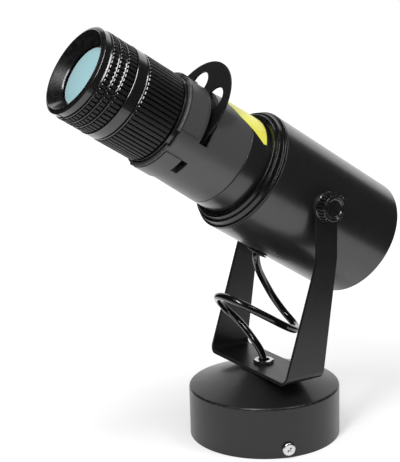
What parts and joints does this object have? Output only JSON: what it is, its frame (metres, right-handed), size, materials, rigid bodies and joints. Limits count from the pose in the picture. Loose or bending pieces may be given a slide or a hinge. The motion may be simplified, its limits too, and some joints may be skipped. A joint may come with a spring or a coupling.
{
  "type": "pinspot light",
  "caption": "Black pinspot projector light on a round canopy, with a panning yoke, a tilting tube head, thumb knobs, a gobo wheel, and zoom and focus rings.",
  "frame": {"origin": "centre of the canopy's open bottom, on the mounting bar's underside", "axes": "+Z from the ceiling or wall box through the canopy towards the yoke's arms; the tilt axis is along X; the beam leaves towards -Y"},
  "size_m": [0.1058, 0.2373, 0.2725],
  "materials": {
    "canopy_powder": "fine satin powder coat",
    "satin_black": "satin paint",
    "gloss_black": "gloss paint",
    "matte_black_metal": "matte black",
    "grey_plastic": "fine matte grain",
    "black_plastic": "semi-matte",
    "white_plastic": "plain",
    "phosphor": "smooth",
    "cord_rubber": "smooth, slightly glossy jacket",
    "black_rubber": "matte",
    "bright_steel": "bright nickel",
    "zinc_steel": "zinc plated",
    "bare_aluminium": "machined",
    "coated_glass": "polished, pale coating"
  },
  "bodies": {
    "canopy": {"canopy": "canopy_powder", "mounting_bar": "zinc_steel", "canopy_screw_1": "bright_steel", "canopy_screw_2": "bright_steel", "terminal_block": "white_plastic", "hollow_bolt": "bright_steel", "lock_washer": "zinc_steel", "lower_nut": "zinc_steel"},
    "yoke": {"yoke": "canopy_powder", "power_cord": "cord_rubber"},
    "head": {"housing": "satin_black", "front_cap": "gloss_black", "neck_sleeve": "satin_black", "rear_cover": "satin_black", "barrel": "grey_plastic", "gate_plate": "bare_aluminium", "wheel_rivet": "bright_steel", "guide_sleeve": "black_plastic", "condenser_lens": "coated_glass", "reflector": "bare_aluminium", "heat_sink": "bare_aluminium", "lamp_board": "white_plastic", "lamp_chip": "phosphor", "board_screw_1": "zinc_steel", "board_screw_2": "zinc_steel", "fan_frame": "black_plastic", "driver_case": "white_plastic", "fan_screw_1": "zinc_steel", "fan_screw_2": "zinc_steel", "fan_screw_3": "zinc_steel", "fan_screw_4": "zinc_steel", "cord_grommet": "black_rubber", "pivot_spacer_right": "black_rubber", "pivot_spacer_left": "black_rubber"},
    "gobo_wheel": {"gobo_wheel": "matte_black_metal"},
    "zoom_ring": {"zoom_ring": "black_plastic"},
    "zoom_carriage": {"zoom_carriage": "bare_aluminium", "rear_lens": "coated_glass"},
    "lens_cell": {"lens_cell": "black_plastic", "front_lens": "coated_glass", "hood_cone": "black_plastic"},
    "focus_ring": {"focus_ring": "black_plastic"},
    "fan_rotor": {"fan_rotor": "black_plastic"},
    "knob_right": {"thumb_knob_right": "black_plastic", "knob_cap_right": "black_plastic", "pivot_stud_right": "zinc_steel"},
    "knob_left": {"thumb_knob_left": "black_plastic", "knob_cap_left": "black_plastic", "pivot_stud_left": "zinc_steel"}
  },
  "joints": [
    {"name": "pan", "type": "hinge", "parent": "canopy", "child": "yoke", "pos_m": [0, 0, 0.0463], "axis": [0, 0, 1], "range_deg": [-175, 175]},
    {"name": "tilt", "type": "hinge", "parent": "yoke", "child": "head", "pos_m": [0, 0.019, 0.1574], "axis": [1, 0, 0], "range_deg": [-60, 70], "deforming": ["power_cord"]},
    {"name": "wheel_turn", "type": "hinge", "parent": "head", "child": "gobo_wheel", "pos_m": [0, -0.0477, 0.2203], "axis": [0, -0.848, 0.5299], "continuous": true},
    {"name": "zoom_turn", "type": "hinge", "parent": "head", "child": "zoom_ring", "pos_m": [0, -0.08862, 0.22465], "axis": [0, -0.848, 0.5299], "range_deg": [0, 75]},
    {"name": "carriage_slide", "type": "slide", "parent": "head", "child": "zoom_carriage", "axis": [0, -0.848, 0.5299], "range_m": [0, 0.012]},
    {"name": "cell_slide", "type": "slide", "parent": "head", "child": "lens_cell", "axis": [0, -0.848, 0.5299], "range_m": [0, 0.006]},
    {"name": "focus_turn", "type": "hinge", "parent": "lens_cell", "child": "focus_ring", "pos_m": [0, -0.11406, 0.24054], "axis": [0, -0.848, 0.5299], "range_deg": [0, 120]},
    {"name": "fan_spin", "type": "hinge", "parent": "head", "child": "fan_rotor", "pos_m": [0, 0.06624, 0.12788], "axis": [0, -0.848, 0.5299], "continuous": true},
    {"name": "knob_right_turn", "type": "hinge", "parent": "head", "child": "knob_right", "pos_m": [0.049, 0.019, 0.1574], "axis": [1, 0, 0], "range_deg": [0, 180]},
    {"name": "knob_left_turn", "type": "hinge", "parent": "head", "child": "knob_left", "pos_m": [-0.049, 0.019, 0.1574], "axis": [-1, 0, 0], "range_deg": [0, 180]}
  ],
  "couplings": [
    {"joint": "zoom_turn", "follows": "carriage_slide", "rad_per_m": 109.07},
    {"joint": "focus_turn", "follows": "cell_slide", "rad_per_m": 349.03}
  ]
}
